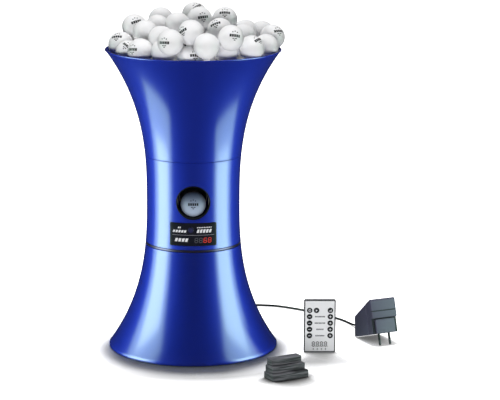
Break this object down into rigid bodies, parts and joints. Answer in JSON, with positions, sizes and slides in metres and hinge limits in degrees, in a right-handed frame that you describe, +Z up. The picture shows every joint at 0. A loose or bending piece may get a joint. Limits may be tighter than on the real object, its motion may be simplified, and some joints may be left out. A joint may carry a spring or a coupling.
{
  "type": "table tennis robot",
  "caption": "Hourglass table tennis robot: flared blue hopper heaped with balls, swivelling body with ball outlet and display, flared base, card remote, step wedge, mains adapter on a cord",
  "frame": {"origin": "On the floor under the base, on the axis that the body swivels about.", "axes": "+Z is up, along the swivel axis. -Y is the way the balls leave, toward the front. +X is the side that the card remote and the mains adapter stand on."},
  "size_m": [0.4733, 0.4583, 0.5598],
  "materials": {
    "metallic_blue": "deep metallic blue, moulded and lacquered",
    "black_plastic": "black, fine satin",
    "grey_plastic": "grey, satin",
    "white_acetal": "off-white, slick",
    "steel": "bright, plated",
    "tan_rubber": "tan, dull",
    "foot_rubber": "black, dull",
    "smoked_window": "black, polished",
    "sensor_lens": "dark blue-grey, polished",
    "board": "green solder mask",
    "ball_white": "white, faintly translucent",
    "cord_black": "black, soft satin",
    "charcoal_plastic": "charcoal, fine texture",
    "brushed_face": "light silver, brushed",
    "wedge_rubber": "dark grey, dull"
  },
  "bodies": {
    "base": {"base_shell": "metallic_blue", "base_deck": "grey_plastic", "sweep_gear": "white_acetal", "turntable_ring": "black_plastic", "bottom_cover": "black_plastic", "foot_mat": "foot_rubber", "dc_jack": "black_plastic", "dc_plug": "cord_black", "cord_lead": "cord_black", "cord_coil": "cord_black", "cord_run": "cord_black", "cord_tie": "black_plastic", "strain_relief": "cord_black", "adapter_case": "charcoal_plastic", "adapter_cover": "charcoal_plastic", "adapter_pin_left": "steel", "adapter_pin_right": "steel", "remote_case": "grey_plastic", "remote_face": "brushed_face", "remote_board": "board", "tilt_wedge": "wedge_rubber"},
    "body": {"body_shell": "metallic_blue", "body_deck": "grey_plastic", "pivot_ring": "steel", "sweep_motor": "steel", "head_frame": "grey_plastic", "ball_chute": "grey_plastic", "outlet_ring": "black_plastic", "top_motor": "steel", "bottom_motor": "steel", "feed_motor": "steel", "feed_tray": "grey_plastic", "display_panel": "smoked_window", "sensor_lens": "sensor_lens", "digit_block": "black_plastic", "control_board": "board", "outlet_ball": "ball_white"},
    "sweep_pinion_body": {"sweep_pinion": "white_acetal"},
    "top_wheel_body": {"top_wheel": "grey_plastic", "top_tyre": "tan_rubber"},
    "bottom_wheel_body": {"bottom_wheel": "grey_plastic", "bottom_tyre": "tan_rubber"},
    "feed_rotor_body": {"feed_rotor": "white_acetal"},
    "hopper": {"hopper_shell": "metallic_blue", "ball_load": "ball_white"},
    "battery_tray_body": {"battery_tray": "black_plastic", "coin_cell": "steel"},
    "button_power_body": {"button_power": "black_plastic"},
    "button_play_body": {"button_play": "black_plastic"},
    "button_mode_body": {"button_mode": "black_plastic"},
    "button_rate_down_body": {"button_rate_down": "black_plastic"},
    "button_rate_up_body": {"button_rate_up": "black_plastic"},
    "button_sweep_down_body": {"button_sweep_down": "black_plastic"},
    "button_sweep_up_body": {"button_sweep_up": "black_plastic"},
    "button_speed_down_body": {"button_speed_down": "black_plastic"},
    "button_speed_up_body": {"button_speed_up": "black_plastic"},
    "button_spin_down_body": {"button_spin_down": "black_plastic"},
    "button_spin_up_body": {"button_spin_up": "black_plastic"}
  },
  "joints": [
    {"name": "body_swivel", "type": "hinge", "parent": "base", "child": "body", "pos_m": [0, 0, 0.1716], "axis": [0, 0, 1], "range_deg": [-15, 15]},
    {"name": "sweep_pinion_spin", "type": "hinge", "parent": "body", "child": "sweep_pinion_body", "pos_m": [0, 0.02615, 0.156], "axis": [0, 0, 1], "range_deg": [-52, 52]},
    {"name": "top_wheel_spin", "type": "hinge", "parent": "body", "child": "top_wheel_body", "pos_m": [0, -0.03, 0.2882], "axis": [1, 0, 0], "continuous": true},
    {"name": "bottom_wheel_spin", "type": "hinge", "parent": "body", "child": "bottom_wheel_body", "pos_m": [0, -0.03, 0.2106], "axis": [1, 0, 0], "continuous": true},
    {"name": "feed_rotor_spin", "type": "hinge", "parent": "body", "child": "feed_rotor_body", "pos_m": [0, 0, 0.32], "axis": [0, 0, 1], "continuous": true},
    {"name": "hopper_lift", "type": "slide", "parent": "body", "child": "hopper", "axis": [0, 0, 1], "range_m": [0, 0.08]},
    {"name": "battery_tray_slide", "type": "slide", "parent": "base", "child": "battery_tray_body", "axis": [1, 0, 0], "range_m": [0, 0.026]},
    {"name": "button_power_press", "type": "slide", "parent": "base", "child": "button_power_body", "axis": [0, 1, 0], "range_m": [0, 0.0005], "stiffness_N_per_m": 400},
    {"name": "button_play_press", "type": "slide", "parent": "base", "child": "button_play_body", "axis": [0, 1, 0], "range_m": [0, 0.0005], "stiffness_N_per_m": 400},
    {"name": "button_mode_press", "type": "slide", "parent": "base", "child": "button_mode_body", "axis": [0, 1, 0], "range_m": [0, 0.0005], "stiffness_N_per_m": 400},
    {"name": "button_rate_down_press", "type": "slide", "parent": "base", "child": "button_rate_down_body", "axis": [0, 1, 0], "range_m": [0, 0.0005], "stiffness_N_per_m": 400},
    {"name": "button_rate_up_press", "type": "slide", "parent": "base", "child": "button_rate_up_body", "axis": [0, 1, 0], "range_m": [0, 0.0005], "stiffness_N_per_m": 400},
    {"name": "button_sweep_down_press", "type": "slide", "parent": "base", "child": "button_sweep_down_body", "axis": [0, 1, 0], "range_m": [0, 0.0005], "stiffness_N_per_m": 400},
    {"name": "button_sweep_up_press", "type": "slide", "parent": "base", "child": "button_sweep_up_body", "axis": [0, 1, 0], "range_m": [0, 0.0005], "stiffness_N_per_m": 400},
    {"name": "button_speed_down_press", "type": "slide", "parent": "base", "child": "button_speed_down_body", "axis": [0, 1, 0], "range_m": [0, 0.0005], "stiffness_N_per_m": 400},
    {"name": "button_speed_up_press", "type": "slide", "parent": "base", "child": "button_speed_up_body", "axis": [0, 1, 0], "range_m": [0, 0.0005], "stiffness_N_per_m": 400},
    {"name": "button_spin_down_press", "type": "slide", "parent": "base", "child": "button_spin_down_body", "axis": [0, 1, 0], "range_m": [0, 0.0005], "stiffness_N_per_m": 400},
    {"name": "button_spin_up_press", "type": "slide", "parent": "base", "child": "button_spin_up_body", "axis": [0, 1, 0], "range_m": [0, 0.0005], "stiffness_N_per_m": 400}
  ],
  "couplings": [
    {"joint": "sweep_pinion_spin", "follows": "body_swivel", "ratio": 3.3333}
  ]
}
